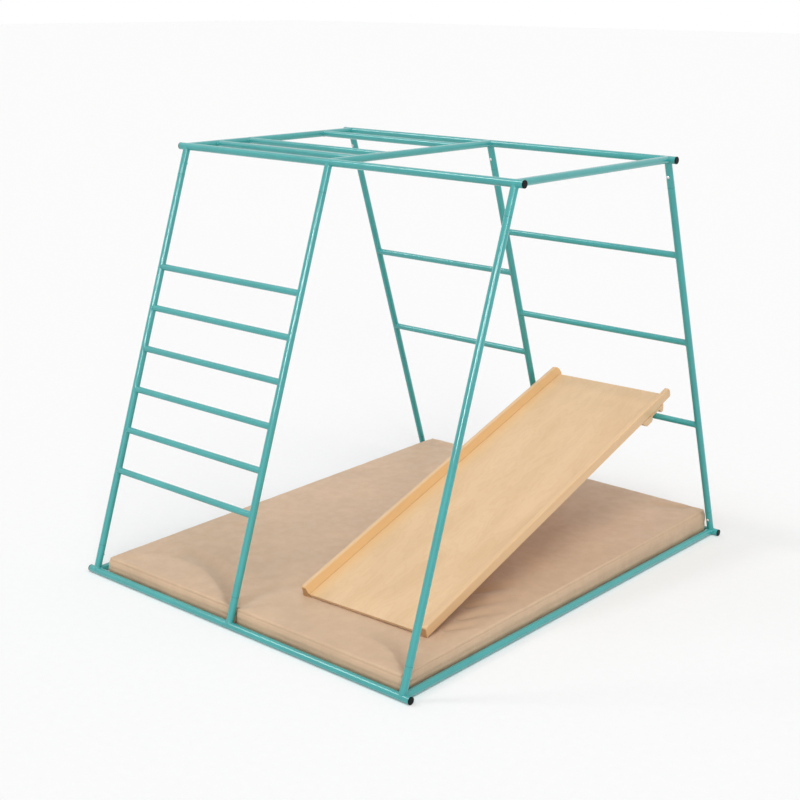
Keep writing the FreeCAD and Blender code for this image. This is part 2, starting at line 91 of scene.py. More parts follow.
# Lights: the large soft one overhead, the one on the left, the low one in front, and the small
# one that draws bright lines on the near legs. Each has its strength, and its azimuth round from
# the near side, its elevation and its width in degrees.
LIGHTS = {
    "key": (1.25, 40, 64, 40),
    "side": (0.36, -58, 44, 12),
    "front": (0.42, 52, 17, 12),
    "glint": (0.70, 20, 18, 9),
}

# Folds and dents of the mat's top, each as points in plan, half width and depth, in metres.
# They start at a leg, where the cover is pulled, and fade along their length.
FOLDS = (
    (
        (
            (-0.036, -0.776),
            (-0.110, -0.710),
            (-0.200, -0.656),
            (-0.290, -0.615),
            (-0.375, -0.603),
            (-0.455, -0.612),
        ),
        0.058,
        0.0230,
    ),
    (((-0.012, -0.765), (-0.034, -0.690), (-0.030, -0.614), (0.010, -0.510)), 0.048, 0.0070),
    (((0.622, -0.765), (0.575, -0.715), (0.520, -0.672), (0.460, -0.645), (0.380, -0.630)), 0.050, 0.0210),
    (((-0.592, -0.772), (-0.540, -0.748), (-0.470, -0.735)), 0.030, 0.0060),
    (((0.560, 0.775), (0.520, 0.725), (0.440, 0.690)), 0.045, 0.0080),
    (((-0.028, 0.770), (-0.060, 0.700), (-0.140, 0.650)), 0.050, 0.0090),
    (((-0.570, 0.775), (-0.520, 0.720), (-0.430, 0.700)), 0.045, 0.0080),
)
# Small wrinkles beside the slide's low end, in the same form.
WRINKLES = (
    (((0.530, -0.500), (0.565, -0.440), (0.592, -0.395)), 0.030, 0.0060),
    (((0.516, -0.420), (0.546, -0.355), (0.590, -0.285)), 0.034, 0.0075),
    (((0.482, -0.345), (0.515, -0.275), (0.560, -0.200)), 0.038, 0.0075),
    (((0.440, -0.250), (0.475, -0.180), (0.530, -0.100)), 0.042, 0.0065),
)

# Settings

def length_setting(name, description, default):
    """A length in metres."""
    return bpy.props.FloatProperty(
        name=name,
        description=description,
        subtype="DISTANCE",
        unit="LENGTH",
        precision=5,
        default=default,
    )


def angle_setting(name, description, degrees):
    """An angle, written in degrees and kept in radians."""
    return bpy.props.FloatProperty(
        name=name,
        description=description,
        subtype="ANGLE",
        unit="ROTATION",
        default=math.radians(degrees),
    )


def share_setting(name, description, default):
    """A share of something else."""
    return bpy.props.FloatProperty(name=name, description=description, subtype="FACTOR", default=default)


def value_setting(name, description, default):
    """A plain number, such as a strength or a rate."""
    return bpy.props.FloatProperty(name=name, description=description, default=default)


def count_setting(name, description, default):
    """A whole number of copies, steps or frames."""
    return bpy.props.IntProperty(name=name, description=description, default=default)


def colour_setting(name, description, default):
    """A colour of three parts."""
    return bpy.props.FloatVectorProperty(
        name=name,
        description=description,
        subtype="COLOR",
        size=3,
        min=0,
        max=1,
        default=default,
    )


def place_setting(name, description, default):
    """A place in metres."""
    return bpy.props.FloatVectorProperty(
        name=name,
        description=description,
        subtype="TRANSLATION",
        unit="LENGTH",
        size=3,
        default=default,
    )


class TubeSettings(bpy.types.PropertyGroup):
    paint_colour: colour_setting("Paint", "Colour of the powder coat on the tubes", (0.030, 0.352, 0.345))
    paint_roughness: share_setting("Paint roughness", "Roughness of the powder coat", 0.34)
    weld_radius: length_setting("Weld bead", "Radius of the weld bead round a tube's end", 0.0018)
    foot_weld_radius: length_setting(
        "Foot weld bead", "Radius of the weld bead round a leg's foot, beside the mat", 0.0013
    )
    weld_ripples: count_setting("Weld ripples", "Ripples of a weld bead over one turn", 26)
    ripple_share: share_setting(
        "Ripple height", "Height of the ripples as a share of the bead's radius", 0.10
    )
    bead_steps: count_setting("Bead steps", "Mesh steps round one weld bead", 52)
    tube_radius: length_setting("Tube radius", "Outer radius of rails, cross tubes and legs", TUBE_RADIUS)
    rung_radius: length_setting("Rung radius", "Outer radius of the rungs and hand bars", 0.010)
    base_joint: length_setting(
        "Base joint", "Distance of a leg's lower joint line from the base rail's axis", 0.082
    )
    top_joint: length_setting(
        "Top joint", "Distance of a leg's upper joint line from the top rail's axis", 0.087
    )
    # The dark line is painted shade in the joint gap.
    gap_width: length_setting("Joint gap", "Width of the dark line at a leg's joint", 0.0006)


class FittingSettings(bpy.types.PropertyGroup):
    steel_colour: colour_setting("Steel", "Colour of the zinc-plated screws", (0.68, 0.69, 0.70))
    # Dark teal for the painted shade in the legs' joint gaps, with the inner sleeves seen in them.
    joint_shadow_colour: colour_setting(
        "Sleeves", "Colour of the bare steel in the joint lines", (0.030, 0.085, 0.085)
    )
    steel_roughness: share_setting("Steel roughness", "Roughness of the screws' plating", 0.22)
    sleeve_roughness: share_setting("Sleeve roughness", "Roughness of the steel in the joint lines", 0.55)
    cap_colour: colour_setting("Caps", "Colour of the plastic end caps", (0.0025, 0.0025, 0.003))


class MatSettings(bpy.types.PropertyGroup):
    cover_colour: colour_setting("Cover", "Colour of the artificial leather cover", (0.690, 0.472, 0.305))
    foam_colour: colour_setting("Foam", "Colour of the foam core", (0.82, 0.80, 0.72))
    near_height: length_setting("Near height", "Height of the upper edge at the near end", 0.060)
    far_height: length_setting("Far height", "Height of the upper edge at the far end", 0.0885)
    narrowing: length_setting(
        "Narrowing", "How far the left side draws in from the near to the far end", 0.009
    )
    side_bulge: length_setting("Side bulge", "How far the sides stand out at half height", 0.0045)
    crown: length_setting("Crown", "How far the top rises in its middle", 0.0012)
    edge_radius: length_setting("Edge radius", "Radius of the mat's edges and corners", 0.0045)
    cell: length_setting("Cell", "Size of the cover's mesh cells before they are halved", 0.024)
    seam_drop: length_setting("Seam drop", "Distance of the seam from the mat's upper edge", 0.0085)
    seam_depth: length_setting("Seam depth", "How far the seam draws the cover in", 0.0007)
    seam_width: length_setting("Seam width", "Width of the groove along a seam", 0.0024)
    stitch_length: length_setting("Stitch length", "Length of one stitch with the gap after it", 0.0045)
    side_rows: count_setting("Side rows", "Rows of cells on the sides, between the seams", 5)
    side_puff: share_setting(
        "Side puff", "How much the sides' bulge varies along them, as a share of it", 0.7
    )
    puff_rate: value_setting("Puff rate", "Swellings along one metre of the sides", 11)
    held_edge: length_setting(
        "Held edge", "Width along the edges where the sewn cover resists the folds", 0.030
    )
    holding_gap: length_setting(
        "Holding gap", "Distance from the edges of the cuts that keep the corners crisp", 0.007
    )
    # Painted shade in the folds: the fold depth at which it is darkest.
    fold_shade_reach: length_setting(
        "Crease reach", "Depth of a fold at which its leather is fully darkened", 0.016
    )
    core_ease: share_setting(
        "Core ease", "How much deeper the folds are in the foam than in the cover", 1.3
    )
    pucker_reach: length_setting("Pucker reach", "How far the puckers reach from a seam", 0.016)
    pucker_depth: length_setting("Pucker depth", "Depth of the puckers beside a seam", 0.0014)
    pucker_rate: value_setting("Pucker rate", "Puckers along one metre of seam", 28)
    tube_radius: length_setting("Leg radius", "Outer radius of the legs in the notches", TUBE_RADIUS)
    core_cell: length_setting("Core cell", "Size of the foam core's mesh cells", 0.015)
    settle_frames: count_setting("Settling time", "Frames of the cloth simulation", 12)
    notch_half_width: length_setting(
        "Notch half width", "Half the width of the notch round a middle leg", 0.0125
    )
    notch_gap: length_setting(
        "Notch gap",
        "Gap between the notch's end and the leg, with the screw's head between them",
        0.0063,
    )
    cover_thickness: length_setting(
        "Cover thickness", "Thickness of the cover and the gap to the foam inside it", 0.0030
    )
    looseness: share_setting("Looseness", "How much larger the cover is cut than its foam", 0.012)
    rise_limit: length_setting("Rise limit", "The most that the loose cover may rise off its foam", 0.0016)


class SlideSettings(bpy.types.PropertyGroup):
    veneer_colour: colour_setting("Veneer", "Colour of the deck's birch veneer", (0.800, 0.555, 0.328))
    rail_colour: colour_setting("Rail wood", "Colour of the side rails and hooks", (0.800, 0.528, 0.285))
    tilt: angle_setting("Tilt", "Slope of the slide", 16.5)
    skew: angle_setting("Skew", "How far the slide lies askew to the frame", 2.53)
    origin: place_setting("Low corner", "Low outer corner of the right rail", (0.5264, -0.5732, 0.0653))
    deck_top: length_setting(
        "Deck height", "Height of the deck's face above the rails' undersides", 0.0106
    )
    length: length_setting("Length", "Length of the rails", 1.3905)
    warm_side: length_setting("Warm side", "Place across the slide of the left rail's inner face", -0.4292)
    # Width of the painted warm light, bounced from the left rail onto the deck.
    bounce_width: length_setting("Warm width", "Width of the warmer wood beside the left rail", 0.060)
    rail_thickness: length_setting("Rail thickness", "Thickness of the rails at the deck", 0.026)
    rail_height: length_setting("Rail height", "Height of the rails square to the slide", 0.0346)
    slope_width: length_setting("Slope width", "Width of the rails' sloping inner faces", 0.012)
    slope_blur: length_setting(
        "Slope blur", "Half the width over which the sloping face's tone ends", 0.0015
    )
    joint_shadow: length_setting(
        "Joint line", "Width of the dark line where the deck enters the rails", 0.0022
    )
    # The rails' ends get darker end grain and painted shade.
    end_grain_depth: length_setting(
        "End grain", "How far the darker end grain reaches into the rails", 0.0012
    )
    ply: length_setting("Ply", "Thickness of one layer of the plywood", 0.0016)


def light_settings(name, strength, azimuth, elevation, width):
    """The settings of one light, with its angles in degrees."""
    title = name.capitalize()
    from_where = "Side that this light comes from, round from the near side"
    return {
        name + "_strength": value_setting(title + " light", "Strength of the " + name + " light", strength),
        name + "_azimuth": angle_setting(title + " azimuth", from_where, azimuth),
        name + "_elevation": angle_setting(title + " elevation", "Height above the horizon", elevation),
        name + "_angle": angle_setting(title + " softness", "Width seen from the frame", width),
    }


class StageSettings(bpy.types.PropertyGroup):
    floor_colour: colour_setting("Floor", "Colour of the floor", (0.94, 0.94, 0.94))
    floor_reach: length_setting("Floor reach", "Distance from the frame to the floor's edges", 60)
    sky_strength: value_setting("Sky", "Strength of the even light from all round", 0.50)
    floor_lift: share_setting(
        "Floor lift", "White that the camera sees in the floor besides its own light", 0.05
    )
    camera_place: place_setting("Camera", "Place of the camera", (2.7994, -3.3322, 1.7579))
    camera_azimuth: angle_setting("Azimuth", "Angle of the view round the frame", 40.774)
    camera_elevation: angle_setting("Elevation", "Angle of the view down to the floor", 15.928)
    camera_roll: angle_setting("Roll", "Turn of the camera about its view", 0.472)
    lens: value_setting("Lens", "Focal length in millimetres", 64.58)
    sensor_width: value_setting("Sensor width", "Width of the camera's sensor in millimetres", 36)


for light_name, light_values in LIGHTS.items():
    StageSettings.__annotations__.update(light_settings(light_name, *light_values))


# Node helpers

def add(tree, kind, sockets=None, **settings):
    """Add a node: settings are its own properties, sockets its inputs as values or links."""
    node = tree.nodes.new(kind)
    for name, value in settings.items():
        setattr(node, name, value)
    connect(tree, node, sockets or {})
    return node


def connect(tree, node, sockets):
    """Set a node's inputs by name, as values or links."""
    for name, value in sockets.items():
        if isinstance(value, bpy.types.NodeSocket):
            tree.links.new(value, node.inputs[name])
        else:
            node.inputs[name].default_value = value


def maths(tree, operation, first, second=0.5):
    """Add a Math node and return its result."""
    return add(tree, "ShaderNodeMath", {0: first, 1: second}, operation=operation).outputs[0]


def remapped(tree, value, from_low, from_high, to_low=0.0, to_high=1.0):
    """Map a value's range smoothly to another range."""
    sockets = {
        "Value": value,
        "From Min": from_low,
        "From Max": from_high,
        "To Min": to_low,
        "To Max": to_high,
    }
    return add(tree, "ShaderNodeMapRange", sockets, interpolation_type="SMOOTHSTEP").outputs["Result"]


def blended(tree, share, first, second):
    """Mix two colours and return the result."""
    node = add(tree, "ShaderNodeMix", data_type="RGBA", blend_type="MIX")
    for name, value in (("Factor", share), ("A", first), ("B", second)):
        socket = next(s for s in node.inputs if s.name == name and s.enabled)
        if isinstance(value, bpy.types.NodeSocket):
            tree.links.new(value, socket)
        else:
            socket.default_value = value
    return next(s for s in node.outputs if s.enabled)


def opaque(colour):
    """Four-part colour for a socket."""
    return (*colour, 1.0)


def shaded(colour, share):
    """The same colour, lighter or darker."""
    return opaque([min(part * share, 1.0) for part in colour])


def toned(colour, shares):
    """The same colour with a share of each of its three parts."""
    return opaque([min(part * share, 1.0) for part, share in zip(colour, shares)])


def new_group(name, inputs, outputs):
    """Start a shader node group with named sockets, given as (kind, name, default)."""
    tree = bpy.data.node_groups.new(name, "ShaderNodeTree")
    for kind, socket_name, default in inputs:
        socket = tree.interface.new_socket(socket_name, in_out="INPUT", socket_type="NodeSocket" + kind)
        if default is not None:
            socket.default_value = default
    for kind, socket_name in outputs:
        tree.interface.new_socket(socket_name, in_out="OUTPUT", socket_type="NodeSocket" + kind)
    source = add(tree, "NodeGroupInput").outputs
    result = add(tree, "NodeGroupOutput").inputs
    return tree, source, result


def new_material(name):
    """Start a material, and return it with its node tree and its Principled shader."""
    material = bpy.data.materials.new(name)
    material.use_nodes = True
    return material, material.node_tree, material.node_tree.nodes["Principled BSDF"]


def object_place(tree):
    """The Object coordinates of the surface."""
    return add(tree, "ShaderNodeTexCoord").outputs["Object"]


def overlaid(tree, mask, strength, colour, over):
    """Lay a second colour over the first where a mask is, at a strength."""
    return blended(tree, maths(tree, "MULTIPLY", mask, strength), colour, over)


def stain_and_shade(tree, mask, darkening, colour, plain):
    """Darken a colour where a mask is, by a strength and a share of the plain colour: for the material's
    own darker tones, and for painted shade.
    """
    strength, share = darkening
    return overlaid(tree, mask, strength, colour, shaded(plain, share))


def set_bump(tree, shader, height, distance):
    """Feed a height into the shader's normal."""
    bump = add(tree, "ShaderNodeBump", {"Height": height, "Distance": distance, "Strength": 1.0})
    tree.links.new(bump.outputs["Normal"], shader.inputs["Normal"])


# Shared effects

def tone_effect():
    """Soft uneven tone: a colour that drifts between a light and a dark one."""
    inputs = (
        ("Vector", "Place", None),
        ("Float", "Scale", 5.0),
        ("Color", "Light", (1.0, 1.0, 1.0, 1.0)),
        ("Color", "Dark", (0.5, 0.5, 0.5, 1.0)),
    )
    tree, source, result = new_group("uneven_tone", inputs, (("Color", "Colour"), ("Float", "Tone")))
    sockets = {"Vector": source["Place"], "Scale": source["Scale"], "Detail": 5.0, "Roughness": 0.6}
    cloud = add(tree, "ShaderNodeTexNoise", sockets)
    tone = remapped(tree, cloud.outputs["Fac"], NOISE_LOW, NOISE_HIGH)
    colour = blended(tree, tone, source["Dark"], source["Light"])
    tree.links.new(colour, result["Colour"])
    tree.links.new(tone, result["Tone"])
    return tree


def pebble_effect():
    """Fine pebbled surface: height of small rounded cells with finer noise over them."""
    inputs = (
        ("Vector", "Place", None),
        ("Float", "Cells", 600.0),
        ("Float", "Roughening", 0.4),
    )
    tree, source, result = new_group("pebbled_surface", inputs, (("Float", "Height"), ("Float", "Crease")))
    sockets = {"Vector": source["Place"], "Scale": source["Cells"], "Detail": 2.0}
    warp = add(tree, "ShaderNodeTexNoise", sockets)
    cells = add(
        tree,
        "ShaderNodeTexVoronoi",
        {"Vector": source["Place"], "Scale": source["Cells"], "Randomness": 1.0},
        feature="DISTANCE_TO_EDGE",
    )
    edge_width = 0.35
    rounded = remapped(tree, cells.outputs["Distance"], 0.0, edge_width)
    rough = maths(tree, "MULTIPLY", warp.outputs["Fac"], source["Roughening"])
    tree.links.new(maths(tree, "ADD", rounded, rough), result["Height"])
    tree.links.new(maths(tree, "SUBTRACT", 1.0, rounded), result["Crease"])
    return tree


def wood_effect():
    """Wood figure along Y: growth lines that wander, and fine pores."""
    inputs = (
        ("Vector", "Place", None),
        ("Float", "Line spacing", 0.004),
        ("Float", "Wander", 1.0),
        ("Float", "Stretch", 0.08),
    )
    outputs = (("Float", "Line"), ("Float", "Pore"), ("Float", "Cloud"))
    tree, source, result = new_group("wood_figure", inputs, outputs)
    parts = add(tree, "ShaderNodeSeparateXYZ", {"Vector": source["Place"]}).outputs
    drawn_y = maths(tree, "MULTIPLY", parts["Y"], source["Stretch"])
    drawn = add(tree, "ShaderNodeCombineXYZ", {"X": parts["X"], "Y": drawn_y, "Z": parts["Z"]}).outputs[0]
    sockets = {"Vector": drawn, "Scale": 14.0, "Detail": 3.0, "Roughness": 0.5}
    cloud = add(tree, "ShaderNodeTexNoise", sockets)
    drift = maths(tree, "MULTIPLY", cloud.outputs["Fac"], source["Wander"])
    across = maths(tree, "DIVIDE", parts["X"], source["Line spacing"])
    phase = maths(tree, "ADD", across, maths(tree, "MULTIPLY", drift, WANDER_TURN))
    line_start = -0.2
    line = remapped(tree, maths(tree, "SINE", phase), line_start, 1.0)
    pores = add(tree, "ShaderNodeTexNoise", {"Vector": drawn, "Scale": 900.0, "Detail": 2.0})
    pore_start = 0.55
    pore_full = 0.75
    pore = remapped(tree, pores.outputs["Fac"], pore_start, pore_full)
    tree.links.new(line, result["Line"])
    tree.links.new(pore, result["Pore"])
    tree.links.new(cloud.outputs["Fac"], result["Cloud"])
    return tree


def uneven_tone(tree, effects, place, colour, scale, light, dark):
    """Place the tone effect between two shares of a colour."""
    sockets = {
        "Place": place,
        "Scale": scale,
        "Light": shaded(colour, light),
        "Dark": shaded(colour, dark),
    }
    return add(tree, "ShaderNodeGroup", sockets, node_tree=effects["tone"]).outputs


def pebbled_surface(tree, effects, place, cells, roughening):
    """Place the pebble effect."""
    sockets = {"Place": place, "Cells": cells, "Roughening": roughening}
    return add(tree, "ShaderNodeGroup", sockets, node_tree=effects["pebble"]).outputs


# Materials

def powder_coat(settings, effects):
    """Satin teal powder coat with a faint orange peel."""
    roughness_spread = 0.04
    material, tree, shader = new_material("teal_powder_coat")
    place = object_place(tree)
    tone = uneven_tone(tree, effects, place, settings.paint_colour, scale=9.0, light=1.05, dark=0.95)
    peel = pebbled_surface(tree, effects, place, cells=420.0, roughening=0.9)
    smoothest = settings.paint_roughness - roughness_spread
    roughest = settings.paint_roughness + roughness_spread
    sockets = {
        "Base Color": tone["Colour"],
        "Roughness": remapped(tree, tone["Tone"], 0.0, 1.0, smoothest, roughest),
        "Specular IOR Level": 0.30,
        "Coat Weight": 1.0,
        "Coat Roughness": 0.06,
    }
    connect(tree, shader, sockets)
    set_bump(tree, shader, peel["Height"], distance=0.00002)
    return material


def plated_steel(name, colour, roughness, effects):
    """Zinc-plated or bare steel with faint handling marks."""
    roughness_spread = 0.14
    material, tree, shader = new_material(name)
    tone = uneven_tone(tree, effects, object_place(tree), colour, scale=260.0, light=1.1, dark=0.82)
    rough = remapped(tree, tone["Tone"], 0.0, 1.0, roughness, roughness + roughness_spread)
    connect(tree, shader, {"Base Color": tone["Colour"], "Roughness": rough, "Metallic": 1.0})
    set_bump(tree, shader, tone["Tone"], distance=0.00001)
    return material


def cap_plastic(settings, effects):
    """Black moulded plastic with a fine texture."""
    material, tree, shader = new_material("cap_plastic_black")
    place = object_place(tree)
    tone = uneven_tone(tree, effects, place, settings.cap_colour, scale=120.0, light=1.5, dark=0.7)
    pebble = pebbled_surface(tree, effects, place, cells=1400.0, roughening=0.3)
    sockets = {"Base Color": tone["Colour"], "Roughness": 0.38, "Specular IOR Level": 0.12}
    connect(tree, shader, sockets)
    set_bump(tree, shader, pebble["Height"], distance=0.00003)
    return material


def cover_leather(settings, effects):
    """Beige artificial leather: fine pebble, soft clouds of tone, folds and a stitched seam, with painted
    shade in the seam's groove and in the folds.
    """
    material, tree, shader = new_material("mat_leatherette_beige")
    place = object_place(tree)
    cloud = uneven_tone(tree, effects, place, settings.cover_colour, scale=4.5, light=1.05, dark=0.94)
    sockets = {"Vector": place, "Scale": 26.0, "Detail": 5.0, "Roughness": 0.6}
    patches = add(tree, "ShaderNodeTexNoise", sockets)
    patch = remapped(tree, patches.outputs["Fac"], NOISE_LOW, NOISE_HIGH)
    colour = stain_and_shade(tree, patch, PATCH_STAIN, cloud["Colour"], settings.cover_colour)
    pebble = pebbled_surface(tree, effects, place, cells=950.0, roughening=0.5)
    colour = stain_and_shade(tree, pebble["Crease"], PEBBLE_STAIN, colour, settings.cover_colour)
    gap = add(tree, "ShaderNodeAttribute", attribute_name="seam_gap").outputs["Fac"]
    parts = add(tree, "ShaderNodeSeparateXYZ", {"Vector": place}).outputs
    run = maths(tree, "ADD", parts["X"], parts["Y"])
    groove = remapped(tree, maths(tree, "ABSOLUTE", gap), 0.0, settings.seam_width / 2, 1.0, 0.0)
    stitch = maths(tree, "SINE", maths(tree, "MULTIPLY", run, 2 * math.pi / settings.stitch_length))
    stitch_gap = -0.5
    stitch_body = 0.1
    thread = maths(tree, "MULTIPLY", remapped(tree, stitch, stitch_gap, stitch_body), groove)
    # Painted shade in the seam's groove.
    colour = stain_and_shade(tree, groove, SEAM_SHADE, colour, settings.cover_colour)
    colour = stain_and_shade(tree, thread, THREAD_STAIN, colour, settings.cover_colour)
    # Painted shade in the folds, darker where they are deeper.
    crease = add(tree, "ShaderNodeAttribute", attribute_name="crease").outputs["Fac"]
    colour = stain_and_shade(tree, crease, FOLD_SHADE, colour, settings.cover_colour)
    smoothest = 0.40
    roughest = 0.54
    sockets = {
        "Base Color": colour,
        "Roughness": remapped(tree, patch, 0.0, 1.0, smoothest, roughest),
        "Specular IOR Level": 0.50,
        "Sheen Weight": 0.08,
    }
    connect(tree, shader, sockets)
    thread_share = 2.5
    groove_share = 4.0
    patch_share = 6.0
    height = maths(tree, "ADD", pebble["Height"], maths(tree, "MULTIPLY", thread, thread_share))
    height = maths(tree, "SUBTRACT", height, maths(tree, "MULTIPLY", groove, groove_share))
    height = maths(tree, "ADD", height, maths(tree, "MULTIPLY", patch, patch_share))
    set_bump(tree, shader, height, distance=0.00010)
    return material


def open_foam(settings, effects):
    """Pale foam with fine cells, inside the cover."""
    cell_share = 0.7
    material, tree, shader = new_material("mat_foam_pale")
    pebble = pebbled_surface(tree, effects, object_place(tree), cells=1100.0, roughening=0.8)
    colour = blended(
        tree,
        pebble["Crease"],
        opaque(settings.foam_colour),
        shaded(settings.foam_colour, cell_share),
    )
    connect(tree, shader, {"Base Color": colour, "Roughness": 0.95})
    set_bump(tree, shader, pebble["Height"], distance=0.0003)
    return material


def slide_place(tree, settings):
    """Coordinates along the slide's own axes: X across, Y up along it, Z out of its deck."""
    sockets = {
        "Vector": object_place(tree),
        "Location": settings.origin,
        "Rotation": (settings.tilt, 0.0, settings.skew),
    }
    return add(tree, "ShaderNodeMapping", sockets, vector_type="TEXTURE").outputs[0]


def wood_finish(tree, shader, place, colour, effects, grain, contrast):
    """Colour, gloss and pores of clear-varnished wood, with its growth lines at a contrast."""
    light_share = 1.04
    pore_contrast = 0.18
    smooth_wood = 0.40
    rough_pore = 0.55
    figure = add(tree, "ShaderNodeGroup", {"Place": place, **grain}, node_tree=effects["wood"]).outputs
    cloud = remapped(tree, figure["Cloud"], NOISE_LOW, NOISE_HIGH)
    base = blended(tree, cloud, toned(colour, GOLDEN), shaded(colour, light_share))
    lined = overlaid(tree, figure["Line"], contrast, base, toned(colour, GRAIN_LINE))
    pored = overlaid(tree, figure["Pore"], pore_contrast, lined, toned(colour, PORE))
    rough = remapped(tree, figure["Pore"], 0.0, 1.0, smooth_wood, rough_pore)
    connect(tree, shader, {"Roughness": rough, "Coat Weight": 0.12, "Coat Roughness": 0.3})
    set_bump(tree, shader, maths(tree, "SUBTRACT", 1.0, figure["Pore"]), distance=0.00004)
    return pored


def deck_plywood(settings, effects):
    """Birch plywood: a broad figure on the veneer, painted warm light bounced from the left rail beside it,
    a painted shadow line where it enters the rails, and layers on its edges.
    """
    grain = {"Line spacing": 0.0110, "Wander": 2.6, "Stretch": 0.28}
    bounce_strength = 0.75
    joint_shadow_strength = 0.8
    layer_strength = 0.8
    layer_share = 0.48
    material, tree, shader = new_material("deck_birch_plywood")
    place = slide_place(tree, settings)
    veneer = wood_finish(tree, shader, place, settings.veneer_colour, effects, grain, contrast=0.15)
    parts = add(tree, "ShaderNodeSeparateXYZ", {"Vector": place}).outputs
    side = settings.warm_side
    # Painted warm light, bounced from the left rail onto the deck beside it.
    painted_deck_bounce = remapped(tree, parts["X"], side, side + settings.bounce_width, bounce_strength, 0.0)
    veneer = blended(tree, painted_deck_bounce, veneer, toned(settings.veneer_colour, BOUNCE_TONE))
    # Painted shadow line where the deck enters the rails.
    middle = (side - settings.rail_thickness) / 2
    off_middle = maths(tree, "ABSOLUTE", maths(tree, "SUBTRACT", parts["X"], middle))
    edge = middle - side
    joint = remapped(tree, off_middle, edge - settings.joint_shadow, edge, 0.0, joint_shadow_strength)
    veneer = blended(tree, joint, veneer, toned(settings.veneer_colour, END_GRAIN_AND_SHADOW))
    depth = maths(tree, "SUBTRACT", settings.deck_top, parts["Z"])
    layer = maths(tree, "DIVIDE", depth, settings.ply)
    odd = maths(tree, "GREATER_THAN", maths(tree, "MODULO", layer, 2.0), 1.0)
    inside = maths(tree, "MULTIPLY", odd, maths(tree, "GREATER_THAN", layer, 1.0))
    colour = stain_and_shade(tree, inside, (layer_strength, layer_share), veneer, settings.veneer_colour)
    tree.links.new(colour, shader.inputs["Base Color"])
    return material


def rail_wood(settings, effects):
    """Straight-grained light wood of the rails and hooks: painted warm bounce light on the left rail's
    sloping face, painted light on the top faces, and darker end grain with painted shade on the ends.
    """
    grain = {"Line spacing": 0.0014, "Wander": 0.7, "Stretch": 0.08}
    slope_bounce_strength = 0.9
    top_light_strength = 0.6
    end_strength = 0.8
    material, tree, shader = new_material("rail_light_wood")
    place = slide_place(tree, settings)
    colour = wood_finish(tree, shader, place, settings.rail_colour, effects, grain, contrast=0.20)
    parts = add(tree, "ShaderNodeSeparateXYZ", {"Vector": place}).outputs
    # Painted warm light, bounced from the deck onto the left rail's sloping inner face.
    slope_top = settings.warm_side - settings.slope_width
    slope = remapped(tree, parts["X"], slope_top - settings.slope_blur, slope_top + settings.slope_blur)
    left_rail = maths(tree, "LESS_THAN", parts["X"], settings.warm_side + settings.slope_width)
    painted_slope_bounce = maths(tree, "MULTIPLY", slope, left_rail)
    colour = overlaid(tree, painted_slope_bounce, slope_bounce_strength, colour, toned(settings.rail_colour, BOUNCE_TONE))
    # Painted light on the rails' top faces.
    rail_top = settings.rail_height
    painted_top_light = remapped(tree, parts["Z"], rail_top - settings.slope_blur, rail_top)
    colour = overlaid(tree, painted_top_light, top_light_strength, colour, toned(settings.rail_colour, TOP_LIGHT_TONE))
    # Darker end grain, with painted shade on the down-facing ends.
    along = parts["Y"]
    low_end = remapped(tree, along, 0.0, settings.end_grain_depth, 1.0, 0.0)
    top_end = remapped(tree, along, settings.length - settings.end_grain_depth, settings.length)
    ends = maths(tree, "MAXIMUM", low_end, top_end)
    colour = overlaid(tree, ends, end_strength, colour, toned(settings.rail_colour, END_GRAIN_AND_SHADOW))
    tree.links.new(colour, shader.inputs["Base Color"])
    return material


def seen_straight(tree):
    """One where the camera sees the surface, also in a reflection, and zero in its light on others."""
    path = add(tree, "ShaderNodeLightPath").outputs
    seen = maths(tree, "MAXIMUM", path["Is Camera Ray"], path["Is Glossy Ray"])
    return maths(tree, "MAXIMUM", seen, path["Is Transmission Ray"])


def floor_paint(settings):
    """Pale floor that looks white to the camera and keeps the object's shadow."""
    tone_spread = 0.005
    material, tree, shader = new_material("pale_floor")
    place = object_place(tree)
    grain = add(tree, "ShaderNodeTexNoise", {"Vector": place, "Scale": 40.0, "Detail": 3.0})
    tone = remapped(tree, grain.outputs["Fac"], NOISE_LOW, NOISE_HIGH)
    dark = shaded(settings.floor_colour, 1 - tone_spread)
    light = shaded(settings.floor_colour, 1 + tone_spread)
    colour = blended(tree, tone, dark, light)
    connect(tree, shader, {"Base Color": colour, "Roughness": 0.9, "Specular IOR Level": 0.0})
    seen = seen_straight(tree)
    lift = add(tree, "ShaderNodeEmission", {"Color": opaque((1, 1, 1))})
    tree.links.new(maths(tree, "MULTIPLY", seen, settings.floor_lift), lift.inputs["Strength"])
    both = add(tree, "ShaderNodeAddShader", {0: shader.outputs[0], 1: lift.outputs[0]})
    tree.links.new(both.outputs[0], tree.nodes["Material Output"].inputs["Surface"])
    return material


# Geometry helpers

def centre_of(node):
    """Centre of a CAD node's box."""
    low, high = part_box(node)
    return (low + high) / 2


def finished_piece(name, bm, finish, body):
    """Turn a bmesh into a smooth piece of the object, with a material, that rides on a body."""
    bmesh.ops.recalc_face_normals(bm, faces=bm.faces)
    mesh = bpy.data.meshes.new(name)
    bm.to_mesh(mesh)
    bm.free()
    mesh.shade_smooth()
    mesh.materials.append(bpy.data.materials[finish])
    piece = bpy.data.objects.new(name, mesh)
    bpy.context.scene.collection.objects.link(piece)
    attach(piece, body)
    return piece


def finish_nodes(names, finish):
    """Give CAD nodes one material."""
    for name in names:
        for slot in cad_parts[name].material_slots:
            slot.material = bpy.data.materials[finish]


def nodes_named(*starts):
    """The CAD nodes whose names start with any of these words."""
    return [name for name in sorted(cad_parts) if name.startswith(starts)]


def leg_axis(side):
    """Unit vector up along the legs of one side."""
    return (centre_of("top_rail_" + side) - centre_of("base_rail_" + side)).normalized()


def leg_point(side, name, height):
    """Point of a leg's axis at a height."""
    up = leg_axis(side)
    foot = centre_of("base_rail_" + side)
    point = foot + up * ((height - foot.z) / up.z)
    point.x = centre_of("leg_" + side + "_" + name).x
    return point


# Welds

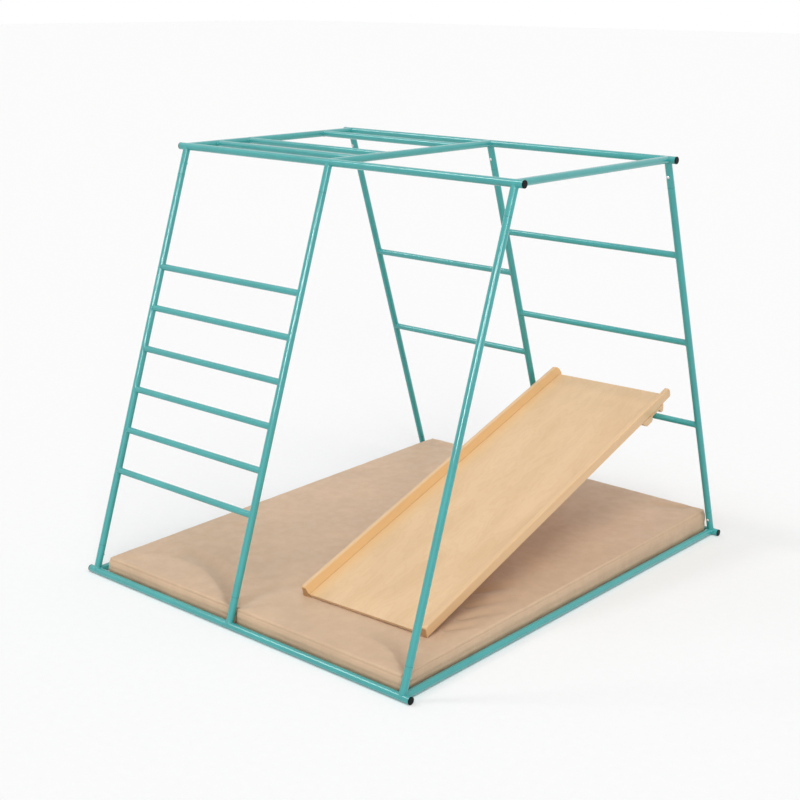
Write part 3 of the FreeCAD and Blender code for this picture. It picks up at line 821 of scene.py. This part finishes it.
def add_bead(bm, foot, along, across, tube_radius, bead_radius, settings):
    """Weld bead round the end of a tube that stands on a main tube.

    foot is where their axes cross, along points up the tube and across runs along the main tube."""
    side = along.cross(across)
    section = Matrix((side, along, side.cross(along))).transposed().to_4x4()
    section.translation = foot + side * tube_radius
    bead = bmesh.new()
    bmesh.ops.create_circle(bead, segments=RING_SIDES, radius=bead_radius, matrix=section)
    bmesh.ops.spin(
        bead,
        geom=bead.verts[:] + bead.edges[:],
        cent=foot,
        axis=along,
        angle=2 * math.pi,
        steps=settings.bead_steps,
        use_merge=True,
    )
    for vert in bead.verts:
        offset = vert.co - foot
        angle = math.atan2(offset.dot(across), offset.dot(side))
        middle = (side * math.cos(angle) + across * math.sin(angle)) * tube_radius
        ripple = 1 + settings.ripple_share * math.sin(angle * settings.weld_ripples)
        width = tube_radius * math.cos(angle)
        depth = math.sqrt(max(settings.tube_radius ** 2 - width ** 2, 0))
        vert.co = foot + middle + (offset - middle) * ripple + along * depth
        sideways = (vert.co - foot).dot(side)
        held = min(max(sideways, -settings.tube_radius), settings.tube_radius)
        vert.co += side * (held - sideways)
    mesh = bpy.data.meshes.new("bead")
    bead.to_mesh(mesh)
    bead.free()
    bm.from_mesh(mesh)
    bpy.data.meshes.remove(mesh)


def rung_beads(bm, settings):
    """Beads at both ends of every rung."""
    bays = (
        ("rung_near", "near", "left", "middle"),
        ("rung_far_left", "far", "left", "middle"),
        ("rung_far_right", "far", "middle", "right"),
    )
    for start, side, left, right in bays:
        for rung in nodes_named(start):
            height = centre_of(rung).z
            for leg, along in ((left, AXIS_X), (right, -AXIS_X)):
                foot = leg_point(side, leg, height)
                up = leg_axis(side)
                add_bead(bm, foot, along, up, settings.rung_radius, settings.weld_radius, settings)


def hand_bar_beads(bm, settings):
    """Beads at both ends of every hand bar."""
    for bar in nodes_named("hand_bar"):
        middle = centre_of(bar)
        for cross, along in (("top_cross_left", AXIS_X), ("top_cross_middle", -AXIS_X)):
            foot = Vector((centre_of(cross).x, middle.y, middle.z))
            add_bead(bm, foot, along, AXIS_Y, settings.rung_radius, settings.weld_radius, settings)


def cross_tube_beads(bm, settings):
    """Beads at both ends of every cross tube."""
    for cross in nodes_named("base_cross", "top_cross"):
        level = cross.split("_")[0]
        middle = centre_of(cross)
        for side, along in (("near", AXIS_Y), ("far", -AXIS_Y)):
            rail = centre_of(level + "_rail_" + side)
            foot = Vector((middle.x, rail.y, rail.z))
            add_bead(bm, foot, along, AXIS_X, settings.tube_radius, settings.weld_radius, settings)


def socket_beads(bm, settings):
    """Beads where the legs' stubs stand on the rails."""
    ends = (("base", 1, settings.foot_weld_radius), ("top", -1, settings.weld_radius))
    for side in ("near", "far"):
        for name in ("left", "middle", "right"):
            for level, sign, radius in ends:
                foot = leg_point(side, name, centre_of(level + "_rail_" + side).z)
                along = leg_axis(side) * sign
                add_bead(bm, foot, along, AXIS_X, settings.tube_radius, radius, settings)


def joint_shadow_rings(bm, settings):
    """Dark rings in the joint lines of the legs: painted shade of the joint gaps, with the inner sleeves
    seen in them.
    """
    joints = (("base", settings.base_joint), ("top", -settings.top_joint))
    for side in ("near", "far"):
        up = leg_axis(side)
        outward = up.cross(AXIS_X)
        for name in ("left", "middle", "right"):
            for level, reach in joints:
                rail = leg_point(side, name, centre_of(level + "_rail_" + side).z)
                foot = rail + up * reach
                section = Matrix((outward, up, AXIS_X)).transposed().to_4x4()
                section.translation = foot + outward * settings.tube_radius
                ring = bmesh.ops.create_circle(
                    bm,
                    segments=RING_SIDES,
                    radius=settings.gap_width / 2,
                    matrix=section,
                )
                around = {edge for vert in ring["verts"] for edge in vert.link_edges}
                bmesh.ops.spin(
                    bm,
                    geom=ring["verts"] + list(around),
                    cent=foot,
                    axis=up,
                    angle=2 * math.pi,
                    steps=settings.bead_steps,
                    use_merge=True,
                )


# Mat

def mat_plan(settings, inset):
    """Edges of the mat in plan, inside its bulging sides: left, right, near and far."""
    low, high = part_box("mat_cover")
    edge = settings.side_bulge + inset
    return low.x + edge, high.x - edge, low.y + edge, high.y - edge


def mat_notches(settings, inset):
    """Notches round the middle legs: left side, right side, end wall and the way out."""
    notches = []
    for side, outward in (("near", -1), ("far", 1)):
        height = settings.near_height if side == "near" else settings.far_height
        leg = leg_point(side, "middle", height + settings.crown)
        half = settings.notch_half_width + inset
        wall = leg.y - outward * (settings.tube_radius + settings.notch_gap + inset)
        notches.append((leg.x - half, leg.x + half, wall, outward))
    return notches


def mat_slab(settings, cell, inset):
    """Even slab over the mat's plan, with its notches, rounded edges and rows for the seams."""
    left, right, near, far = mat_plan(settings, inset)
    top = settings.near_height - inset
    bm = bmesh.new()
    bmesh.ops.create_grid(
        bm,
        x_segments=round((right - left) / cell),
        y_segments=round((far - near) / cell),
        size=0.5,
    )
    bmesh.ops.scale(bm, vec=(right - left, far - near, 1), verts=bm.verts)
    bmesh.ops.translate(bm, vec=((left + right) / 2, (near + far) / 2, top), verts=bm.verts)
    for notch_left, notch_right, wall, outward in mat_notches(settings, inset):
        for vert in bm.verts:
            for edge in (notch_left, notch_right):
                if abs(vert.co.x - edge) <= cell / 2:
                    vert.co.x = edge
            if abs(vert.co.y - wall) <= cell / 2:
                vert.co.y = wall
        cut = []
        for face in bm.faces:
            middle = face.calc_center_median()
            if notch_left < middle.x < notch_right and (middle.y - wall) * outward > 0:
                cut.append(face)
        bmesh.ops.delete(bm, geom=cut, context="FACES")
    moved = bmesh.ops.extrude_face_region(bm, geom=bm.faces[:])["geom"]
    lowered = [item for item in moved if isinstance(item, bmesh.types.BMVert)]
    bmesh.ops.translate(bm, vec=(0, 0, -top + inset), verts=lowered)
    bmesh.ops.recalc_face_normals(bm, faces=bm.faces)
    limit = math.radians(SHARP_DEGREES)
    sharp = [edge for edge in bm.edges if edge.is_manifold and edge.calc_face_angle() > limit]
    bmesh.ops.bevel(
        bm,
        geom=sharp,
        offset=settings.edge_radius - inset,
        offset_type="OFFSET",
        segments=3,
        profile=0.5,
        affect="EDGES",
        material=-1,
        clamp_overlap=False,
    )
    hold = settings.holding_gap
    cuts = [((0, 0, height), AXIS_Z) for height in mat_rows(settings, inset)]
    cuts += [((left + hold, 0, 0), AXIS_X), ((right - hold, 0, 0), AXIS_X)]
    cuts += [((0, near + hold, 0), AXIS_Y), ((0, far - hold, 0), AXIS_Y)]
    for place, normal in cuts:
        bmesh.ops.bisect_plane(
            bm,
            geom=bm.verts[:] + bm.edges[:] + bm.faces[:],
            plane_co=place,
            plane_no=normal,
        )
    return bm


def mat_rows(settings, inset):
    """Heights of the rows on the mat's sides, close together at its two seams."""
    top = settings.near_height - inset
    lower = inset + settings.seam_drop
    upper = top - settings.seam_drop
    half = settings.seam_width / 2
    count = settings.side_rows
    rows = [lower + (upper - lower) * step / count for step in range(1, count)]
    return rows + [lower - half, lower, lower + half, upper - half, upper, upper + half]


def seam_gap(z, settings, inset):
    """Distance of a height on the even slab from the nearer seam, upward positive."""
    lower = z - inset - settings.seam_drop
    upper = z - settings.near_height + inset + settings.seam_drop
    return lower if abs(lower) < abs(upper) else upper


def shape_mat(bm, settings, inset):
    """Move the even slab onto the mat's form and note each point's distance from a seam."""
    upper_roundness = 2
    lower_roundness = 6
    swelling_offset = 0.2
    left, right, near, far = mat_plan(settings, inset)
    radius = settings.edge_radius
    reach = 3 * radius
    top = settings.near_height - inset
    gaps = bm.verts.layers.float.new("seam_gap")
    for vert in bm.verts:
        x, y, z = vert.co
        vert[gaps] = seam_gap(z, settings, inset)
        along = (y - near) / (far - near)
        level = (2 * z - top - inset) / (top - inset - 2 * radius)
        swelling = noise.noise(Vector((x, y, 0)) * settings.puff_rate) - swelling_offset
        puff = 1 + settings.side_puff * swelling
        roundness = upper_roundness if level > 0 else lower_roundness
        bulge = settings.side_bulge * max(1 - level ** roundness, 0) * min(puff, 1)
        out_x = max(1 - (right - x) / reach, 0) - max(1 - (x - left) / reach, 0)
        out_y = max(1 - (far - y) / reach, 0) - max(1 - (y - near) / reach, 0)
        rise = (settings.far_height - settings.near_height) * along
        rise += settings.crown * (1 - ((2 * x - left - right) / (right - left)) ** 2)
        above_seam = z - inset - 2 * settings.seam_drop
        between_seams = top - inset - 4 * settings.seam_drop
        share = min(max(above_seam / between_seams, 0), 1)
        vert.co.x = x + bulge * out_x + settings.narrowing * along * (right - x) / (right - left)
        vert.co.y = y + bulge * out_y
        vert.co.z = z + rise * share


def pull_seams(mesh, settings):
    """Draw the cover in along its seams and pucker it beside them."""
    pucker_offset = 0.4
    gaps = mesh.attributes["seam_gap"].data
    normals = [vert.normal.copy() for vert in mesh.vertices]
    for vert, normal in zip(mesh.vertices, normals):
        gap = abs(gaps[vert.index].value)
        if gap > settings.pucker_reach:
            continue
        nearness = 1 - gap / settings.pucker_reach
        pucker = noise.noise(vert.co * settings.pucker_rate) - pucker_offset
        wave = pucker * settings.pucker_depth * nearness
        groove = settings.seam_depth * max(1 - 2 * gap / settings.seam_width, 0)
        vert.co += normal * (wave - groove)


class Fold:
    """One fold of the mat's top: narrow and deep at its start, wide and flat at its end."""
    start_width = 0.5
    fading = 0.6

    def __init__(self, points, half_width, deepest):
        self.points = [Vector(point) for point in points]
        self.half_width = half_width
        self.deepest = deepest
        self.low = [min(point[axis] for point in points) - half_width for axis in (0, 1)]
        self.high = [max(point[axis] for point in points) + half_width for axis in (0, 1)]

    def reaches(self, place):
        """Whether a place in plan may be within the fold."""
        return self.low[0] < place.x < self.high[0] and self.low[1] < place.y < self.high[1]

    def depth(self, place):
        """How far the fold lowers the mat at a place in plan."""
        deepest = 0
        runs = len(self.points) - 1
        for count, (start, end) in enumerate(zip(self.points, self.points[1:])):
            run = end - start
            share = min(max((place - start).dot(run) / run.length_squared, 0), 1)
            gone = (count + share) / runs
            width = self.half_width * (self.start_width + (1 - self.start_width) * gone)
            nearness = max(1 - ((place - start - run * share).length / width) ** 2, 0)
            deepest = max(deepest, self.deepest * nearness ** 2 * (1 - gone) ** self.fading)
        return deepest


def fold_depth(folds, place):
    """How far all folds together lower the mat at a place in plan."""
    return max((fold.depth(place) for fold in folds if fold.reaches(place)), default=0)


def refine_folds(mesh, folds, settings):
    """Halve the mesh cells of the mat's top once more where folds are pressed."""
    bm = bmesh.new()
    bm.from_mesh(mesh)
    folded = set()
    for vert in bm.verts:
        if vert.co.z > settings.near_height / 2 and fold_depth(folds, vert.co.xy) > 0:
            folded.add(vert)
    edges = [edge for edge in bm.edges if folded.issuperset(edge.verts)]
    bmesh.ops.subdivide_edges(bm, edges=edges, cuts=1, use_grid_fill=True)
    bm.to_mesh(mesh)
    bm.free()


def press_folds(mesh, folds, settings, ease):
    """Lower the mat's top along its folds, but not at its sewn edges, and less towards the floor."""
    left, right, near, far = mat_plan(settings, 0)
    fold_shades = mesh.attributes.new("crease", "FLOAT", "POINT").data
    for vert in mesh.vertices:
        place = vert.co.xy
        depth = fold_depth(folds, place)
        share = min(max(vert.co.z / settings.near_height, 0), 1) ** 2
        inside = min(place.x - left, right - place.x, place.y - near, far - place.y)
        free = min(max(inside / settings.held_edge, 0), 1)
        vert.co.z -= depth * share * free * ease
        # Fold depth, kept for the painted shade in the leather's folds.
        fold_shades[vert.index].value = depth * share / settings.fold_shade_reach


def under_slide(place):
    """Whether a place on the mat is where the slide's low end lies on it."""
    low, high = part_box("slide_rail_right")
    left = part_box("slide_rail_left")[0].x
    return left < place.x < high.x and low.y < place.y < low.y + PRESSED_LENGTH


def halve_cells(piece):
    """Halve a piece's mesh cells on a smooth surface through them."""
    finer = piece.modifiers.new("finer", "SUBSURF")
    finer.levels = 1
    finer.render_levels = 1
    evaluated = piece.evaluated_get(bpy.context.evaluated_depsgraph_get())
    mesh = bpy.data.meshes.new_from_object(evaluated)
    piece.modifiers.remove(finer)
    piece.data = mesh


def settle_cover(cover, settings):
    """Let the loose cover settle on its foam: a cloth simulation, held where it is sewn or pressed."""
    cloth = {
        "quality": 3,
        "mass": 0.35,
        "bending_stiffness": 0.4,
        "use_pressure": True,
        "uniform_pressure_force": 1.5,
        "shrink_min": -settings.looseness,
        "vertex_group_mass": "held",
    }
    mesh = cover.data
    gaps = mesh.attributes["seam_gap"].data
    held = []
    for vert in mesh.vertices:
        sewn = abs(gaps[vert.index].value) < settings.seam_width
        if sewn or vert.co.z < settings.seam_drop or under_slide(vert.co):
            held.append(vert.index)
    start = [vert.co.copy() for vert in mesh.vertices]
    cover.vertex_groups.new(name="held").add(held, 1.0, "REPLACE")
    settle = cover.modifiers.new("settle", "CLOTH")
    for name, value in cloth.items():
        setattr(settle.settings, name, value)
    settle.settings.effector_weights.gravity = 0
    settle.point_cache.frame_end = settings.settle_frames
    scene = bpy.context.scene
    for step in range(1, settings.settle_frames + 1):
        scene.frame_set(step)
    settled = cover.evaluated_get(bpy.context.evaluated_depsgraph_get()).data
    moves = [after.co - before for after, before in zip(settled.vertices, start)]
    normals = [vert.normal.copy() for vert in mesh.vertices]
    cover.modifiers.remove(settle)
    cover.vertex_groups.clear()
    scene.frame_set(1)
    limit = settings.rise_limit
    for vert, before, move, normal in zip(mesh.vertices, start, moves, normals):
        move -= normal * min(move.dot(normal), 0)
        vert.co = before + move * (limit / (limit + move.length))


# Stage

def lay_floor(settings):
    """Wide pale floor under the frame."""
    bm = bmesh.new()
    bmesh.ops.create_grid(bm, x_segments=1, y_segments=1, size=settings.floor_reach)
    mesh = bpy.data.meshes.new("floor")
    bm.to_mesh(mesh)
    bm.free()
    mesh.materials.append(floor_paint(settings))
    floor = bpy.data.objects.new("floor", mesh)
    bpy.context.scene.collection.objects.link(floor)


def light_sky(scene, settings):
    """Even light from all round, and a white background for the camera."""
    world = bpy.data.worlds.new("studio")
    world.use_nodes = True
    scene.world = world
    tree = world.node_tree
    seen = seen_straight(tree)
    sockets = {"Value": seen, "To Min": settings.sky_strength, "To Max": 1.0}
    strength = add(tree, "ShaderNodeMapRange", sockets)
    sky = tree.nodes["Background"]
    sky.inputs["Color"].default_value = opaque((1, 1, 1))
    tree.links.new(strength.outputs["Result"], sky.inputs["Strength"])


def hang_light(name, azimuth, elevation, angle, strength):
    """Distant soft light, whose azimuth goes round from the near side as the camera's does."""
    light = bpy.data.lights.new(name, "SUN")
    light.angle = angle
    light.energy = strength
    light_object = bpy.data.objects.new(name, light)
    light_object.rotation_euler = (math.pi / 2 - elevation, 0, azimuth)
    bpy.context.scene.collection.objects.link(light_object)
    return light_object


def place_camera(scene, settings):
    """Camera at the photograph's place, turned by azimuth, elevation and roll."""
    camera = bpy.data.cameras.new("camera")
    camera.lens = settings.lens
    camera.sensor_width = settings.sensor_width
    camera_object = bpy.data.objects.new("camera", camera)
    camera_object.location = settings.camera_place
    turn = Euler((0, 0, settings.camera_azimuth)).to_matrix()
    tip = Euler((math.pi / 2 - settings.camera_elevation, 0, 0)).to_matrix()
    roll = Euler((0, 0, settings.camera_roll)).to_matrix()
    camera_object.rotation_euler = (turn @ tip @ roll).to_euler()
    scene.collection.objects.link(camera_object)
    scene.camera = camera_object


# Operators

class CLIMBING_OT_finishes(bpy.types.Operator):
    """Make the shared effects and the materials of all pieces"""
    bl_idname = "climbing.finishes"
    bl_label = "Make the finishes"

    def execute(self, context):
        scene = context.scene
        effects = {"tone": tone_effect(), "pebble": pebble_effect(), "wood": wood_effect()}
        powder_coat(scene.climbing_tubes, effects)
        fittings = scene.climbing_fittings
        plated_steel("zinc_plated_steel", fittings.steel_colour, fittings.steel_roughness, effects)
        plated_steel("dark_sleeve_steel", fittings.joint_shadow_colour, fittings.sleeve_roughness, effects)
        cap_plastic(fittings, effects)
        cover_leather(scene.climbing_mat, effects)
        open_foam(scene.climbing_mat, effects)
        deck_plywood(scene.climbing_slide, effects)
        rail_wood(scene.climbing_slide, effects)
        return {"FINISHED"}


class CLIMBING_OT_tubes(bpy.types.Operator):
    """Coat all tubes with teal powder paint"""
    bl_idname = "climbing.tubes"
    bl_label = "Coat the tubes"

    def execute(self, context):
        rails = nodes_named("base_rail", "top_rail", "base_cross", "top_cross")
        climbing = nodes_named("rung_", "hand_bar")
        legs = nodes_named("leg_", "base_socket", "top_socket")
        finish_nodes(rails + climbing + legs, "teal_powder_coat")
        return {"FINISHED"}


class CLIMBING_OT_welds(bpy.types.Operator):
    """Lay the painted weld beads at the tubes' ends"""
    bl_idname = "climbing.welds"
    bl_label = "Weld the tubes"

    def execute(self, context):
        settings = context.scene.climbing_tubes
        groups = (
            ("rung_welds", rung_beads),
            ("hand_bar_welds", hand_bar_beads),
            ("cross_tube_welds", cross_tube_beads),
            ("leg_socket_welds", socket_beads),
        )
        for name, lay_beads in groups:
            bm = bmesh.new()
            lay_beads(bm, settings)
            finished_piece(name, bm, "teal_powder_coat", "frame")
        # Painted shade rings in the legs' joint gaps.
        gaps = bmesh.new()
        joint_shadow_rings(gaps, settings)
        finished_piece("leg_joint_gaps", gaps, "dark_sleeve_steel", "frame")
        return {"FINISHED"}


class CLIMBING_OT_fittings(bpy.types.Operator):
    """Finish the screws, the inner sleeves and the end caps"""
    bl_idname = "climbing.fittings"
    bl_label = "Finish the fittings"

    def execute(self, context):
        steel = nodes_named("base_joint", "top_joint", "slide_hook_screws")
        finish_nodes(steel, "zinc_plated_steel")
        finish_nodes(["rail_end_caps"], "cap_plastic_black")
        return {"FINISHED"}


class CLIMBING_OT_mat(bpy.types.Operator):
    """Sew the mat's cover over its foam core"""
    bl_idname = "climbing.mat"
    bl_label = "Make the mat"

    def execute(self, context):
        settings = context.scene.climbing_mat
        core_bm = mat_slab(settings, settings.core_cell, settings.cover_thickness)
        shape_mat(core_bm, settings, settings.cover_thickness)
        core = finished_piece("mat_foam_core", core_bm, "mat_foam_pale", "frame")
        folds = [Fold(*fold) for fold in FOLDS + WRINKLES]
        refine_folds(core.data, folds, settings)
        press_folds(core.data, folds, settings, ease=settings.core_ease)
        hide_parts("mat_core")
        cover_bm = mat_slab(settings, settings.cell, 0)
        shape_mat(cover_bm, settings, 0)
        leather = "mat_leatherette_beige"
        cover = finished_piece("mat_leather_cover", cover_bm, leather, "frame")
        settle_cover(cover, settings)
        halve_cells(cover)
        pull_seams(cover.data, settings)
        refine_folds(cover.data, folds, settings)
        press_folds(cover.data, folds, settings, ease=1.0)
        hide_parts("mat_cover")
        return {"FINISHED"}


class CLIMBING_OT_slide(bpy.types.Operator):
    """Finish the slide's deck, rails and hooks"""
    bl_idname = "climbing.slide"
    bl_label = "Finish the slide"

    def execute(self, context):
        wooden = ["slide_rail_left", "slide_rail_right", "slide_hook_left", "slide_hook_right"]
        finish_nodes(["slide_deck"], "deck_birch_plywood")
        finish_nodes(wooden, "rail_light_wood")
        return {"FINISHED"}


class CLIMBING_OT_stage(bpy.types.Operator):
    """Set up the floor, the lamps, the sky and the camera"""
    bl_idname = "climbing.stage"
    bl_label = "Set the stage"

    def execute(self, context):
        settings = context.scene.climbing_stage
        lay_floor(settings)
        light_sky(context.scene, settings)
        for name in LIGHTS:
            light_object = hang_light(
                name + "_light",
                getattr(settings, name + "_azimuth"),
                getattr(settings, name + "_elevation"),
                getattr(settings, name + "_angle"),
                getattr(settings, name + "_strength"),
            )
            # The glint light shows in shiny surfaces alone, and lights no matt one.
            light_object.visible_diffuse = name != "glint"
        place_camera(context.scene, settings)
        context.scene.view_settings.view_transform = "Standard"
        return {"FINISHED"}


class CLIMBING_PT_panel(bpy.types.Panel):
    """Steps and settings of the climbing frame"""
    bl_idname = "CLIMBING_PT_panel"
    bl_label = "Climbing frame"
    bl_space_type = "VIEW_3D"
    bl_region_type = "UI"
    bl_category = "Climbing frame"

    def draw(self, context):
        for operator in STEPS:
            self.layout.operator(operator.bl_idname)
        for name in SETTINGS:
            settings = getattr(context.scene, name)
            box = self.layout.box()
            for setting in settings.__annotations__:
                box.prop(settings, setting)


STEPS = (
    CLIMBING_OT_finishes,
    CLIMBING_OT_tubes,
    CLIMBING_OT_welds,
    CLIMBING_OT_fittings,
    CLIMBING_OT_mat,
    CLIMBING_OT_slide,
    CLIMBING_OT_stage,
)

SETTINGS = {
    "climbing_tubes": TubeSettings,
    "climbing_fittings": FittingSettings,
    "climbing_mat": MatSettings,
    "climbing_slide": SlideSettings,
    "climbing_stage": StageSettings,
}


def register():
    for name, group in SETTINGS.items():
        bpy.utils.register_class(group)
        setattr(bpy.types.Scene, name, bpy.props.PointerProperty(type=group))
    for operator in STEPS:
        bpy.utils.register_class(operator)
    bpy.utils.register_class(CLIMBING_PT_panel)


def unregister():
    bpy.utils.unregister_class(CLIMBING_PT_panel)
    for operator in reversed(STEPS):
        bpy.utils.unregister_class(operator)
    for name, group in SETTINGS.items():
        delattr(bpy.types.Scene, name)
        bpy.utils.unregister_class(group)


def main():
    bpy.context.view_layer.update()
    register()
    for step in (
        bpy.ops.climbing.finishes,
        bpy.ops.climbing.tubes,
        bpy.ops.climbing.welds,
        bpy.ops.climbing.fittings,
        bpy.ops.climbing.mat,
        bpy.ops.climbing.slide,
        bpy.ops.climbing.stage,
    ):
        step()


if __name__ == "__main__":
    main()
